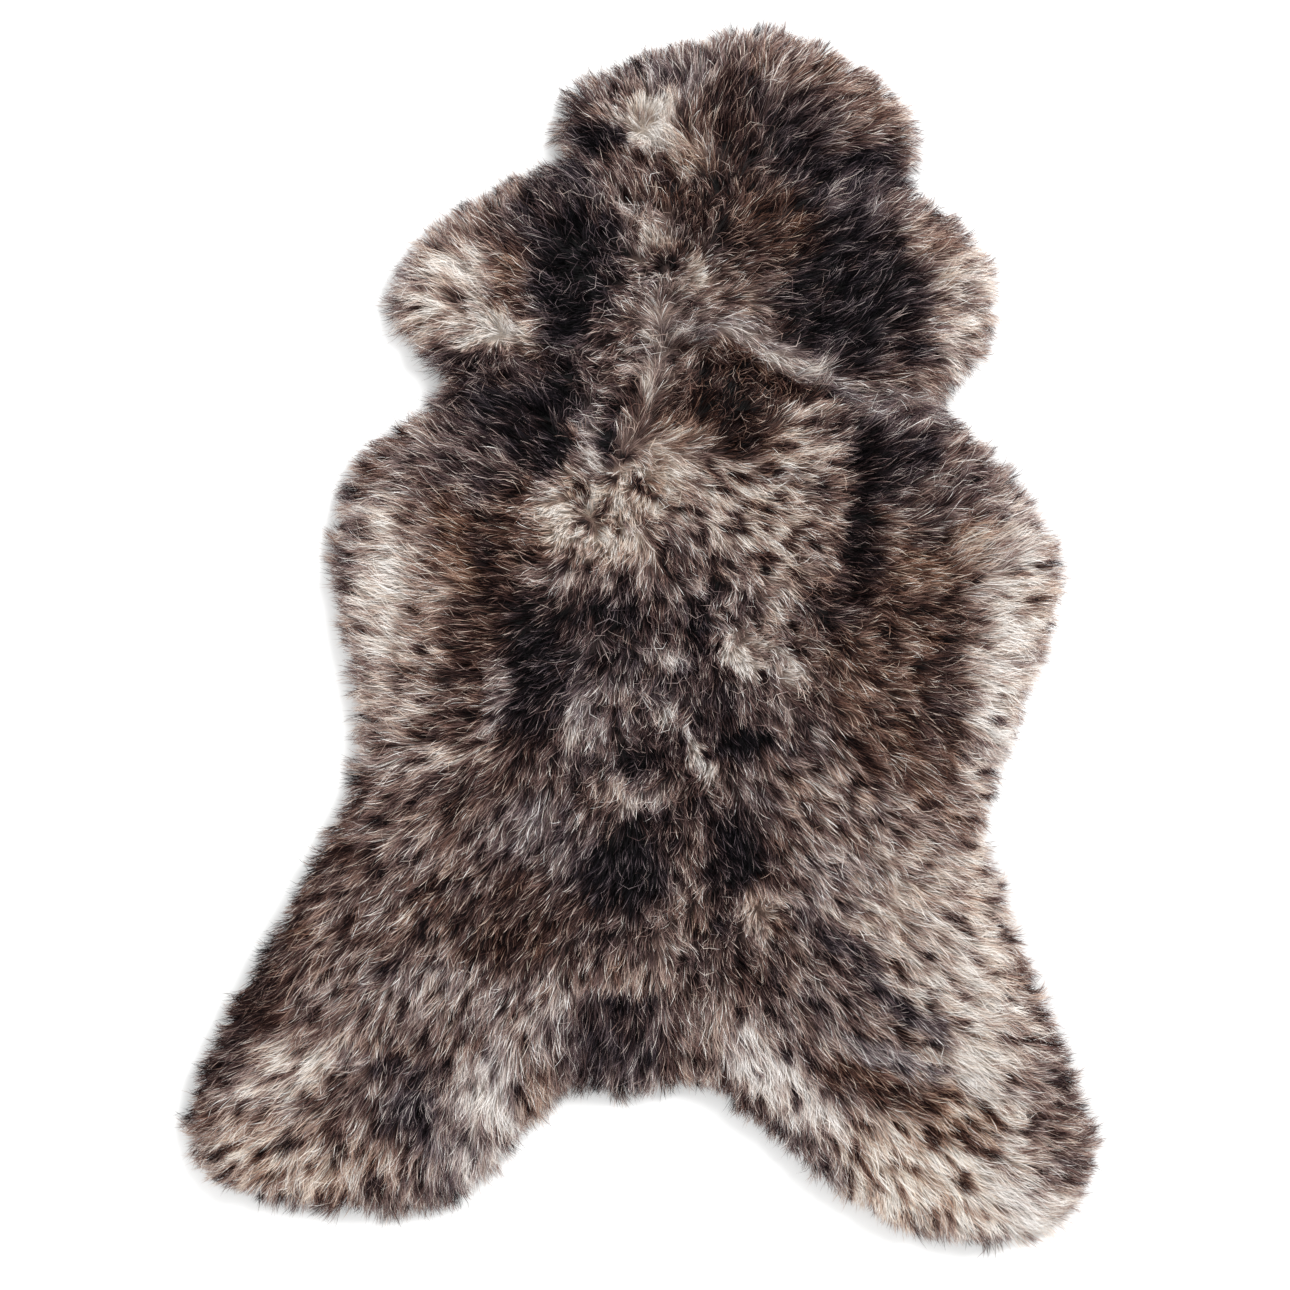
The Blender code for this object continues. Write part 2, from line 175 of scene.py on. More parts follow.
# The markings. Shade runs from 0, black, to 1, white, and warmth from 0, blue-grey, to 1, russet.
# Spots is the share of the wool that small dark spots take, and turn is anticlockwise.
Patch = namedtuple("Patch", "name x y across along shade warmth spots turn", defaults=(0, 0))
PATCHES = [Patch(*row) for row in [
    ("left side", -165, 20, 62, 170, 0.16, 0.7, 0.05),
    ("rump", -5, -200, 98, 62, 0.11, 0.4, 0.05),
    ("whole loin", -25, -60, 92, 92, 0.22, 0.35, 0.1),
    ("neck and shoulder", 75, 330, 92, 92, 0.16, 0.4, 0.05),
    ("right side", 180, -20, 74, 150, 0.27, 0.75, 0.12),
    ("whole right leg", 245, -270, 92, 170, 0.62, 0.5, 0.18, 22),
    ("right inner leg", 140, -300, 70, 74, 0.38, 0.45, 0.22, -35),
    ("whole left leg", -225, -260, 110, 150, 0.35, 0.55, 0.22, -20),
    ("left crown rim", -144, 425, 14, 32, 0.21, 0.35, 0.05),
    ("left ear", -116, 402, 24, 12, 0.05, 0),
    ("left crown", -108, 452, 28, 20, 0.36, 0.4, 0.1),
    ("forehead", -82, 425, 24, 20, 0.92, 0.45, 0, 15),
    ("cheek", -42, 398, 22, 12, 0.58, 0.65, 0.08),
    ("brow", -54, 464, 32, 22, 0.48, 0.2, 0.1),
    ("crown band", -12, 428, 18, 46, 0.12, 0.55),
    ("crown front", 10, 460, 14, 9, 0.12, 0.3),
    ("crown top", 28, 492, 26, 8, 0.42, 0.5, 0.05),
    ("right crown", 98, 462, 42, 30, 0.38, 0.6, 0.12),
    ("right crown rim", 138, 448, 10, 36, 0.5, 0.6, 0.1),
    ("nape", 38, 428, 40, 30, 0.16, 0.2, 0.06),
    ("right neck", 100, 400, 50, 14, 0.09, 0),
    ("neck", -30, 365, 50, 22, 0.18, 0.6, 0.1),
    ("neck streak", -93, 353, 32, 5, 0.56, 0.2, 0, -32),
    ("left shoulder", -135, 290, 42, 72, 0.04, 0),
    ("left shoulder top", -150, 352, 52, 18, 0.17, 0.2, 0, 35),
    ("left lobe", -222, 258, 54, 44, 0.72, 0.5, 0.07),
    ("left lobe bright", -190, 240, 28, 16, 0.93, 0.4),
    ("left lobe glow", -222, 286, 18, 14, 0.86, 0.4),
    ("left lobe spot", -223, 262, 6, 5, 0.18, 0.3),
    ("left lobe brown", -180, 280, 18, 26, 0.33, 0.75, 0.2),
    ("left lobe top", -222, 322, 36, 16, 0.4, 0.5, 0.07, 35),
    ("left lobe rim", -276, 258, 12, 44, 0.44, 0.4, 0.15),
    ("left lobe foot", -205, 205, 50, 9, 0.2, 0.3),
    ("withers", -55, 275, 20, 36, 0.45, 0.4, 0.1),
    ("withers petal", -62, 328, 10, 10, 0.66, 0.5),
    ("withers bright", -28, 298, 13, 12, 0.8, 0.5),
    # Painted shade in the eye of the whorl
    ("withers whorl eye shade", -47, 306, 5, 5, 0.05, 0.3),
    ("spine strip", -52, 228, 9, 34, 0.66, 0.3),
    ("throat", 12, 282, 36, 28, 0.46, 0.6, 0.18),
    ("throat band", -25, 248, 40, 8, 0.56, 0.2),
    ("back black", 15, 193, 44, 42, 0.08, 0.7),
    # A painted highlight along the top of a ridge, with painted shade in the trough below it
    ("ridge painted highlight", 54, 234, 76, 15, 0.63, 0.2, 0, -16),
    ("shade under the ridge", 58, 215, 40, 9, 0.1, 0.8, 0, -16),
    ("ridge fringe", 118, 213, 28, 13, 0.42, 0.2, 0.05),
    ("right shoulder", 108, 295, 50, 62, 0.09, 0.05),
    ("right shoulder brown", 35, 350, 40, 40, 0.2, 0.75, 0.07),
    ("right shoulder top", 92, 372, 36, 20, 0.2, 0.1),
    ("right lobe top", 158, 366, 36, 15, 0.36, 0.4, 0.1, -25),
    ("right lobe brown", 170, 342, 20, 16, 0.46, 0.7, 0.08),
    ("right lobe", 203, 290, 25, 60, 0.68, 0.5, 0.13),
    ("right lobe edge", 166, 268, 9, 36, 0.09, 0.2),
    ("right lobe foot", 180, 224, 34, 10, 0.44, 0.5, 0.08),
    ("right armpit", 165, 203, 36, 12, 0.35, 0.2, 0.05),
    ("left body black", -160, 168, 62, 34, 0.08, 0.1, 0, 10),
    ("left body mauve", -195, 122, 40, 26, 0.26, 0.3),
    ("left body rim", -265, 120, 28, 16, 0.42, 0.45, 0.1, 40),
    ("left flank rim", -296, 45, 11, 70, 0.42, 0.4, 0.1),
    ("left flank", -259, 6, 26, 70, 0.82, 0.45, 0.03),
    ("left flank bright", -251, 8, 12, 50, 0.95, 0.4),
    ("left flank tan", -222, 12, 18, 78, 0.53, 0.65, 0.08),
    ("left flank russet", -206, 60, 14, 40, 0.33, 0.95, 0.05),
    ("left brown", -178, 10, 26, 76, 0.19, 0.65, 0.06),
    ("left black", -128, -52, 28, 60, 0.06, 0.1),
    ("left light streak", -158, -80, 7, 44, 0.5, 0.3, 0.1),
    ("left lower flank", -236, -90, 30, 46, 0.56, 0.5, 0.15),
    ("left lower rim", -266, -100, 8, 50, 0.6, 0.5, 0.05),
    ("left lower brown", -190, -92, 24, 36, 0.3, 0.6, 0.15),
    ("left cream streak", -200, -132, 36, 9, 0.6, 0.5, 0.08, 20),
    ("withers dark", -130, 160, 18, 44, 0.06, 0.1),
    ("withers stripe", -97, 142, 9, 30, 0.66, 0.15),
    # Painted shade in a parting of the wool
    ("withers parting shade", -81, 152, 5, 26, 0.03, 0),
    ("whorl", -92, 84, 50, 34, 0.84, 0.62, 0.06),
    ("whorl right", -38, 122, 30, 28, 0.82, 0.66, 0.08),
    ("whorl top", -25, 165, 24, 12, 0.5, 0.75, 0.05),
    # Painted shade: thin dark cracks where the wool parts at the two whorls
    ("whorl crack shade", -93, 84, 15, 3.2, 0.06, 0.5, 0, 30),
    ("whorl split shade", -90, 82, 3, 12, 0.06, 0.5, 0, -10),
    ("whorl fork shade", -70, 80, 12, 2.6, 0.1, 0.7, 0, 12),
    ("whorl notch shade", -103, 102, 2.6, 9, 0.1, 0.5, 0, 18),
    ("second crack shade", -56, 120, 3, 12, 0.06, 0.5, 0, 20),
    ("second split shade", -50, 112, 12, 3, 0.06, 0.5, 0, -35),
    ("whorl fringe", -100, 34, 42, 14, 0.45, 0.4, 0.1),
    ("loin black", -72, 4, 38, 11, 0.05, 0.1),
    ("back mottled", 10, 42, 50, 32, 0.46, 0.4, 0.32),
    ("spotted back", 54, 108, 56, 84, 0.74, 0.6, 0.35),
    ("right body black", 137, 88, 14, 46, 0.05, 0.3, 0, -2),
    ("right body black top", 138, 162, 18, 36, 0.07, 0.2),
    ("spotted back edge", 107, 125, 11, 66, 0.44, 0.6, 0.25),
    ("right body brown", 120, 34, 26, 22, 0.15, 0.5, 0.05),
    ("right body dark", 158, 168, 40, 34, 0.15, 0.1, 0.05, 10),
    ("right body rim", 235, 158, 26, 22, 0.4, 0.35, 0.1, -45),
    ("right mauve", 196, 126, 40, 22, 0.34, 0.4, 0.07),
    ("right pink", 232, 105, 20, 22, 0.58, 0.85, 0.06),
    ("right russet", 192, 75, 26, 18, 0.38, 1, 0.1),
    ("right brown", 172, 25, 44, 42, 0.28, 0.8, 0.22),
    ("right flank", 275, 50, 35, 84, 0.77, 0.45, 0.14),
    ("right flank bright", 263, -32, 20, 72, 0.86, 0.35, 0.1),
    ("right flank edge", 218, -25, 15, 52, 0.2, 0.5, 0.05),
    ("right dark brown", 180, -80, 54, 36, 0.3, 0.75, 0.18),
    ("loin ticks", 160, -25, 32, 24, 0.36, 0.85, 0.1),
    ("back star", 14, 5, 12, 24, 0.12, 0.2),
    ("right loin streak", 75, -18, 36, 11, 0.72, 0.4, 0.05, -25),
    ("loin tuft", 45, -18, 9, 18, 0.95, 0.3, 0, 30),
    ("right loin black", 55, -90, 24, 14, 0.03, 0),
    ("right loin", 108, -75, 46, 36, 0.34, 0.4, 0.12, -30),
    ("right of loin", 150, -132, 50, 26, 0.52, 0.5, 0.2),
    ("loin", -45, -48, 50, 38, 0.25, 0.3, 0.15),
    ("loin streak", -82, -86, 10, 24, 0.64, 0.2, 0, -12),
    ("loin mauve", -48, -58, 28, 7, 0.5, 0.2, 0.05, 8),
    ("loin fan", -62, -96, 8, 22, 0.46, 0.2, 0.05, 14),
    ("right loin light", 96, -62, 32, 6, 0.5, 0.3, 0.08, -24),
    ("right loin low", 78, -128, 30, 6, 0.48, 0.3, 0.08, -34),
    ("loin gleam", -22, -20, 16, 9, 0.64, 0.2),
    ("spine gleam", -5, -65, 8, 12, 0.74, 0.3),
    ("loin dark", -70, -118, 26, 12, 0.2, 0.2, 0.05),
    ("loin spot", -28, -108, 16, 10, 0.06, 0.1),
    ("loin cream", -36, -138, 36, 12, 0.58, 0.35, 0.12, 4),
    ("spine streak", 18, -108, 8, 30, 0.84, 0.3, 0, 24),
    ("left rump black", -32, -205, 32, 38, 0.05, 0),
    ("right rump black", 62, -178, 20, 26, 0.05, 0),
    ("rump strip", 18, -235, 20, 64, 0.44, 0.55, 0.2),
    ("rump brown", 70, -285, 36, 22, 0.26, 0.5, 0.1),
    ("left haunch mauve", -105, -185, 44, 34, 0.36, 0.2, 0.15),
    ("left haunch", -115, -255, 54, 34, 0.19, 0.6, 0.1),
    ("left leg top", -205, -190, 60, 46, 0.38, 0.5, 0.25),
    ("left leg", -180, -322, 72, 30, 0.5, 0.35, 0.2),
    ("left leg brown", -262, -285, 44, 56, 0.36, 0.55, 0.25),
    ("left leg rim", -316, -300, 27, 135, 0.1, 0.6, 0.03, -18),
    ("left leg cream", -292, -404, 52, 19, 0.78, 0.5, 0.1, 32),
    ("left foot", -290, -476, 78, 28, 0.71, 0.75, 0.24),
    ("left foot spot", -288, -460, 12, 7, 0.06, 0.3),
    ("middle foot spot", -252, -462, 10, 7, 0.06, 0.3),
    ("right foot spot", -216, -488, 9, 6, 0.14, 0.4),
    ("left foot brown", -240, -420, 32, 18, 0.38, 0.5, 0.2),
    ("left ankle", -200, -384, 44, 11, 0.22, 0.1, 0.05),
    ("left foot slate", -178, -425, 26, 28, 0.21, 0.05, 0.05),
    ("left inner", -126, -388, 17, 34, 0.8, 0.15, 0.05, -14),
    ("left inner low", -114, -424, 22, 18, 0.78, 0.15, 0.03),
    ("left inner tan", -88, -402, 12, 24, 0.56, 0.6, 0.15),
    ("left inner foot", -138, -462, 30, 22, 0.6, 0.2, 0.15),
    ("tail", -25, -350, 47, 42, 0.19, 0.15, 0.08),
    ("tail line", -20, -313, 30, 5, 0.06, 0.1),
    ("tail root", -25, -296, 32, 9, 0.5, 0.6, 0.1),
    ("left of tail", -82, -335, 18, 42, 0.56, 0.3, 0.15),
    ("right haunch tan", 85, -225, 24, 22, 0.6, 0.6, 0.05),
    ("right haunch mauve", 140, -190, 34, 26, 0.46, 0.3, 0.12),
    ("right haunch", 135, -308, 50, 28, 0.44, 0.4, 0.25, -35),
    ("right leg top", 222, -205, 66, 60, 0.68, 0.55, 0.16),
    ("right leg band", 182, -268, 80, 12, 0.2, 0.1, 0, -35),
    ("right slate", 205, -338, 46, 9, 0.52, 0, 0.05, -15),
    ("right brown band", 205, -362, 48, 11, 0.24, 0.8, 0.15, -15),
    ("right leg", 268, -285, 34, 62, 0.86, 0.5, 0.15, 15),
    ("right leg bright", 284, -335, 22, 20, 0.95, 0.45, 0.03),
    ("right thigh rim", 318, -265, 9, 46, 0.42, 0.6, 0.12, 22),
    ("right leg rim", 354, -362, 16, 52, 0.44, 0.5, 0.2, 12),
    ("right leg gleam", 318, -380, 9, 40, 0.78, 0.5, 0.05, 6),
    ("right leg spotted", 262, -378, 46, 24, 0.62, 0.95, 0.36),
    ("right leg low", 245, -425, 76, 32, 0.86, 0.8, 0.24),
    ("right foot", 250, -462, 62, 20, 0.9, 0.75, 0.14),
    ("right foot pale", 327, -450, 44, 32, 1, 0.3),
    ("right inner", 112, -366, 64, 22, 0.84, 0.3, 0.12, -38),
    ("right inner rim", 118, -412, 64, 10, 0.36, 0.4, 0.15, -31),
]]
UNMARKED = (0.40, 0.5, 0.15)
PATCH_FADE = (0.5, 1.55)

# Noise that bends the patches' edges: its scale, how far it pushes them, and a seed for x and for y
Warp = namedtuple("Warp", "scale push seed_x seed_y")
WARPS = [Warp(0.045, 0.015, 3.0, 8.0), Warp(0.014, 0.010, 5.0, 9.0)]

# Noise drawn out along the wool, for mottling, which is weakest on black, and for the dark spots
Grain = namedtuple("Grain", "scale seed")
MOTTLES = [Grain(0.016, 12.0), Grain(0.006, 15.0)]
MOTTLING, MOTTLED_BLACK = 0.33, 0.25
SPOTTING = Grain(0.0105, 19.0)
SPOT_EDGE = (-0.10, 0.04)
SPOT_DARKNESS = 0.80
SMEAR = np.arange(-3, 4) * 0.0018

# Where the wool is ruffled and pale curly hairs lie over it, and how far around
Ruffle = namedtuple("Ruffle", "x y reach")
RUFFLED = [
    Ruffle(-85, 295, 60), Ruffle(-20, 375, 45), Ruffle(-60, 215, 55), Ruffle(20, 215, 45),
    Ruffle(25, -240, 45), Ruffle(-40, -110, 50), Ruffle(-90, 180, 35), Ruffle(-30, -20, 50),
    Ruffle(20, 30, 45), Ruffle(-80, 80, 38), Ruffle(-52, 126, 28), Ruffle(90, -10, 40),
]

# Where wisps run out past the rim, how far around, and how much longer the wool is there
Wisp = namedtuple("Wisp", "x y reach longer")
WISPS = [
    Wisp(-116, -466, 38, 11), Wisp(-240, -508, 70, 5), Wisp(328, -460, 42, 11),
    Wisp(250, -482, 50, 4), Wisp(385, -400, 40, 4), Wisp(-78, -410, 24, 5),
    Wisp(15, 508, 24, 3),
]

# The strands: how many a piece has, how deep inside the rim they start, how they crowd on the
# steep side and where they stand up, and how many places are tried for each
STRANDS = 37600
FUR_PIECES = 5
ROOT_DEPTH = 0.010
SIDE_CROWDING, SIDE_DEPTH = 1.6, 0.010
UPRIGHT_CROWDING = 1.2
TRIES = 3

# Strands gather to points, and points to tufts, but a few stray, and some curl in ruffled wool
TUFT_SPACING = 0.013
POINT_SPACING = 0.0032
STRAY_SHARE = 0.06
CURLY_SHARE = 0.03
GATHERED, GATHER_VARIES, MOST_GATHERED = 0.38, 0.25, 0.85
TUFTED, RUFFLED_TUFTED = 0.14, 0.16
LOOSE = 0.1

# What each tuft, point and strand draws by chance. Some serve twice, and a spare isn't used.
TuftDraws = namedtuple("TuftDraws", "veer reach bend loft tone warmth past spare")
PointDraws = namedtuple("PointDraws", "veer reach past bend loft tone gather spare")
OwnDraws = namedtuple("OwnDraws", "veer reach past bend loft tone along warmth")
DRAWS = 8

# How much a quality of the wool varies by tuft, by point and by strand
Vary = namedtuple("Vary", "tuft point strand")

# Veer turns a strand and bend curves it, in radians
VEER, RUFFLED_VEER = Vary(0.13, 0.08, 0.10), Vary(0.42, 0.12, 0.0)
STRAY_VEER, CURLY_VEER = 0.5, 1.4
BEND = Vary(0.16, 0.15, 0.16)
BEND_FROM = 0.35
CURLY_BEND, CURLY_BEND_VARIES = 2.6, 0.5

# Reach is how far a strand runs over the pelt, and past how far it may run beyond the rim
LONG_REACH, SHORT_REACH = 0.027, 0.019
LONG_WITHIN, SHORT_FROM = 0.03, 0.13
REACH = Vary(0.12, 0.10, 0.16)
LEAST_REACH = 0.010
RUFFLED_SHORTER = 0.25
PAST = Vary(0.0042, 0.0034, 0.0034)
PAST_RIM, LEAST_PAST, MOST_PAST = 0.0058, -0.003, 0.019
WISP_PAST, WISP_VARIES = 0.7, 0.3

# Loft lifts or lowers a strand's tip, while its root is sunk in the under layer
LOFT = Vary(0.0017, 0.0012, 0.0014)
CURLY_LOFT = 0.003
FULL_LOFT_HEIGHT = 0.02
ROOT_SUNK = 0.0015
LEAST_HEIGHT, LEAST_HEIGHT_VARIES = 0.0006, 0.0022
FLOOR_GAP = 0.0003

# Tone lightens or darkens a strand, less on black, and a few strands are paler or darker still.
# A strand may also have the markings of a place a little up or down the wool.
TONE = Vary(0.04, 0.05, 0.10)
TONE_ON_BLACK, TONE_BY_SHADE = 0.28, 0.97
PALE_FROM, PALER = 0.88, 0.40
DARK_BELOW, DARKER = 0.12, 0.12
CURLY_SHADE, CURLY_BY_SHADE, CURLY_VARIES = 0.35, 0.5, 0.06
TUFT_WARMTH, STRAND_WARMTH = 0.10, 0.08
MARK_STRAYS = 0.0055

# A strand is a ribbon: three pairs of points and a tip, at these shares of its length. The powers
# say how its reach, its gathering and its rise go with them.
SHARES = np.array([0.0, 0.42, 0.76, 1.0])
REACH_POWER, GATHER_POWER, RISE_POWER = 1.1, 1.15, 1.7
PAIRED = [0, 0, 1, 1, 2, 2, 3]
RIBBON = [(0, 1, 3, 2), (2, 3, 5, 4), (4, 5, 6)]
STRAND_WIDTH = 0.00040
WIDTHS = np.array([0.85, 1.0, 0.72])
WIDTH_VARIES, WIDTH_LIMITS = 0.22, (0.5, 1.6)
ROLL, TWIST = 0.9, 0.4
CHART_MARGIN = np.array([0.15, 0.2])

# The pelt's shape, read from the CAD fleece


def rim_line(node):
    """The middle of the rim of locks, from the outer edge of the node's flat underside."""
    shape = bmesh.new()
    shape.from_mesh(node.data)
    bmesh.ops.remove_doubles(shape, verts=shape.verts, dist=MERGE)
    under = {f for f in shape.faces if all(abs(v.co.z) < ON_FLOOR for v in f.verts)}
    edge = [e for e in shape.edges if len([f for f in e.link_faces if f in under]) == 1]
    steps = {}
    for e in edge:
        a, b = e.verts
        steps.setdefault(a, []).append(b)
        steps.setdefault(b, []).append(a)
    loops = []
    while steps:
        at = next(iter(steps))
        loop = []
        while at in steps:
            loop.append(at.co.xy.to_tuple())
            onward = [v for v in steps.pop(at) if v in steps]
            at = onward[0] if onward else None
        loops.append(np.array(loop))
    shape.free()
    outer = max(loops, key=lambda loop: np.ptp(loop[:, 0]))
    return (np.roll(outer, 1, axis=0) + 2 * outer + np.roll(outer, -1, axis=0)) / 4


def nearest_on(points, loop):
    """The nearest point of a closed loop to each point."""
    start, piece = loop, np.roll(loop, -1, axis=0) - loop
    found = np.empty_like(points)
    for i in range(0, len(points), BATCH):
        away = points[i : i + BATCH, None] - start
        share = np.clip((away * piece).sum(2) / np.maximum((piece * piece).sum(1), TINY), 0, 1)
        foot = start + share[..., None] * piece
        best = np.linalg.norm(points[i : i + BATCH, None] - foot, axis=2).argmin(1)
        found[i : i + BATCH] = foot[np.arange(len(best)), best]
    return found


def inside(points, loop):
    """Which points lie inside a closed loop."""
    a, b = loop, np.roll(loop, -1, axis=0)
    run = b[:, 1] - a[:, 1]
    result = np.zeros(len(points), bool)
    for i in range(0, len(points), BATCH):
        x, y = points[i : i + BATCH, :1], points[i : i + BATCH, 1:]
        crosses = (a[:, 1] > y) != (b[:, 1] > y)
        at = a[:, 0] + (y - a[:, 1]) * (b[:, 0] - a[:, 0]) / np.where(run == 0, 1, run)
        result[i : i + BATCH] = (crosses & (x < at)).sum(1) % 2 == 1
    return result


def unit(vectors, least=1e-9):
    return vectors / np.maximum(np.linalg.norm(vectors, axis=-1, keepdims=True), least)


def smoothstep(low, high, value):
    t = np.clip((value - low) / (high - low), 0, 1)
    return t * t * (3 - 2 * t)


def bulge(depth, rounding):
    """The share of full height that a rounded edge has at a depth inside it."""
    t = np.clip(depth / rounding, 0, 1)
    return np.sqrt(1 - (1 - t) ** 2)


def noise_at(points, scale, seed):
    return np.array([noise.noise(Vector((x / scale, y / scale, seed))) for x, y in points])


def turned(vectors, angle):
    c, s = np.cos(angle), np.sin(angle)
    x, y = vectors[..., 0], vectors[..., 1]
    return np.stack([c * x - s * y, s * x + c * y], axis=-1)


class Field:
    """A quantity stored on the pelt's grid and read between its points."""

    low = np.array([cad_low.x, cad_low.y]) - GRID_MARGIN
    size = (np.array([cad_high.x, cad_high.y]) + GRID_MARGIN - low) / GRID_STEP
    nx, ny = (int(n) + 2 for n in size)

    def __init__(self, values):
        self.values = values.reshape(self.ny, self.nx, -1)

    @classmethod
    def points(cls):
        x = cls.low[0] + np.arange(cls.nx) * GRID_STEP
        y = cls.low[1] + np.arange(cls.ny) * GRID_STEP
        return np.stack(np.meshgrid(x, y), axis=2).reshape(-1, 2)

    def at(self, points):
        place = (points - self.low) / GRID_STEP
        place = np.clip(place, 0, [self.nx - 1.001, self.ny - 1.001])
        i = place.astype(int)
        t = place - i
        x, y = i[..., 0], i[..., 1]
        tx, ty = t[..., :1], t[..., 1:]
        v = self.values
        below = v[y, x] * (1 - tx) + v[y, x + 1] * tx
        above = v[y + 1, x] * (1 - tx) + v[y + 1, x + 1] * tx
        value = below * (1 - ty) + above * ty
        return value[..., 0] if v.shape[2] == 1 else value


def blurred(values, passes):
    grid = values.reshape(Field.ny, Field.nx)
    for _ in range(passes):
        padded = np.pad(grid, 1, mode="edge")
        grid = (
            padded[1:-1, 1:-1] * 4 + padded[:-2, 1:-1] + padded[2:, 1:-1]
            + padded[1:-1, :-2] + padded[1:-1, 2:]
        ) / 8
    return grid.ravel()


def top_heights(node, points):
    """The height of the top of a node over each point, and 0 beside it."""
    tree = BVHTree.FromPolygons(
        [v.co for v in node.data.vertices], [p.vertices for p in node.data.polygons]
    )
    down = Vector((0, 0, -1))
    heights = np.zeros(len(points))
    for i, (x, y) in enumerate(points):
        hit = tree.ray_cast(Vector((x, y, 1)), down)[0]
        if hit is not None:
            heights[i] = hit.z
    return heights


def combed_headings(points, tops, depth, outward):
    """The direction in which the wool lies at each point, and how far it leans, up to 1."""
    table = np.array(COMBED, float)
    places, headings = table[:, :2] * MM, np.radians(table[:, 2])
    ways = np.stack([np.cos(headings), np.sin(headings)], axis=1)
    flow = np.empty((len(points), 2))
    for i in range(0, len(points), BATCH):
        apart = ((points[i : i + BATCH, None] - places) ** 2).sum(2)
        weight = 1 / (apart + COMB_BLEND**2) ** 2
        flow[i : i + BATCH] = (weight[..., None] * ways).sum(1) / weight.sum(1)[:, None]
    flow = unit(flow)
    flow += outward * RIM_PULL * np.exp(-np.maximum(depth, 0) / RIM_PULL_DEPTH)[:, None]
    slope = np.stack(np.gradient(tops.reshape(Field.ny, Field.nx), GRID_STEP)[::-1], axis=2)
    further_in = smoothstep(DOWNHILL_FROM, DOWNHILL_FULL, depth)
    flow -= slope.reshape(-1, 2) * DOWNHILL * further_in[:, None]
    lean = np.ones(len(points))
    for w in WHORLS:
        away = points - np.array([w.x, w.y]) * MM
        far = np.linalg.norm(away, axis=1)
        near = np.exp(-((far / (w.size * MM)) ** 2))
        push = near * w.strength * smoothstep(0, WHORL_EYE, far)
        flow += turned(unit(away), math.radians(w.turn)) * push[:, None]
        stands = np.exp(-((far / (UPRIGHT_SIZES * w.size * MM)) ** 2))
        lean = np.minimum(lean, 1 - UPRIGHT * stands)
    return unit(flow), lean


def drawn_out(points, flow, grain):
    """Noise drawn out along the wool, and ranked from 0 to 1."""
    field = Field(noise_at(points, grain.scale, grain.seed))
    drawn = sum(field.at(points + flow * step) for step in SMEAR)
    return drawn.argsort().argsort() / len(drawn)


def markings(points, flow):
    """Shade and warmth at each point."""
    warped = points
    for w in WARPS:
        shift = [noise_at(points, w.scale, seed) for seed in (w.seed_x, w.seed_y)]
        warped = warped + w.push * np.stack(shift, axis=1)
    result = np.tile(UNMARKED, (len(points), 1))
    for p in sorted(PATCHES, key=lambda p: -p.across * p.along):
        away = turned(warped - np.array([p.x, p.y]) * MM, -math.radians(p.turn))
        spread = np.linalg.norm(away / (np.array([p.across, p.along]) * MM), axis=1)
        cover = (1 - smoothstep(*PATCH_FADE, spread))[:, None]
        result = result * (1 - cover) + np.array([p.shade, p.warmth, p.spots]) * cover
    shade, warmth, spots = result.T
    mottled = sum(drawn_out(points, flow, grain) for grain in MOTTLES) - 1
    shade = shade + MOTTLING * mottled * (MOTTLED_BLACK + shade)
    low, high = (spots + edge for edge in SPOT_EDGE)
    dark = 1 - smoothstep(low, high, drawn_out(points, flow, SPOTTING))
    return np.stack([np.clip(shade, 0, 1) * (1 - SPOT_DARKNESS * dark), warmth], axis=1)


def read_pelt():
    """The rim, and the grid fields that the wool grows by."""
    rim = rim_line(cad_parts["fleece"])
    points = Field.points()
    nearest = nearest_on(points, rim)
    is_in = inside(points, rim)
    depth = np.linalg.norm(points - nearest, axis=1) * np.where(is_in, 1, -1)
    outward = unit(nearest - points) * np.where(is_in, 1, -1)[:, None]
    tops = top_heights(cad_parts["fleece"], points)
    smooth = blurred(tops, TOP_BLUR)
    pile = PILE_HEIGHT * bulge(depth + PILE_PROUD, PILE_ROUNDING)
    slab = smoothstep(SLAB_FROM, SLAB_FULL, depth)
    pile = pile * (1 - slab) + (smooth + PILE_LIFT) * slab
    under = np.minimum(smooth, pile) - UNDER_SINK
    under = np.maximum(under, UNDER_LEAST) * bulge(depth - UNDER_INSET, UNDER_ROUNDING)
    flow, lean = combed_headings(points, blurred(tops, SLOPE_BLUR), depth, outward)
    fields = {"depth": depth, "pile": pile, "under": under, "flow": flow, "lean": lean,
              "marks": markings(points, flow)}
    return rim, {name: Field(values) for name, values in fields.items()}


# The wool


class Cells:
    """Points scattered one to a square cell, such as the middles of tufts."""

    def __init__(self, spacing, jitter=0.8):
        self.spacing = spacing
        self.count = (np.array([Field.nx, Field.ny]) * GRID_STEP / spacing).astype(int) + 3
        shift = (rng.random((*self.count, 2)) - 0.5) * jitter
        place = np.stack(np.meshgrid(*map(np.arange, self.count), indexing="ij"), axis=2)
        self.middles = Field.low + (place + 0.5 + shift) * spacing

    def nearest(self, points):
        """Each point's nearest middle, and that middle's number."""
        home = ((points - Field.low) / self.spacing).astype(int)
        best = np.full(len(points), np.inf)
        middle, number = np.zeros_like(points), np.zeros(len(points), int)
        for dx in (-1, 0, 1):
            for dy in (-1, 0, 1):
                cell = np.clip(home + (dx, dy), 0, self.count - 1)
                at = self.middles[cell[:, 0], cell[:, 1]]
                apart = ((points - at) ** 2).sum(1)
                nearer = apart < best
                best[nearer] = apart[nearer]
                middle[nearer] = at[nearer]
                number[nearer] = cell[nearer, 0] * self.count[1] + cell[nearer, 1]
        return middle, number

    def draws(self):
        return rng.standard_normal((self.count[0] * self.count[1], DRAWS))


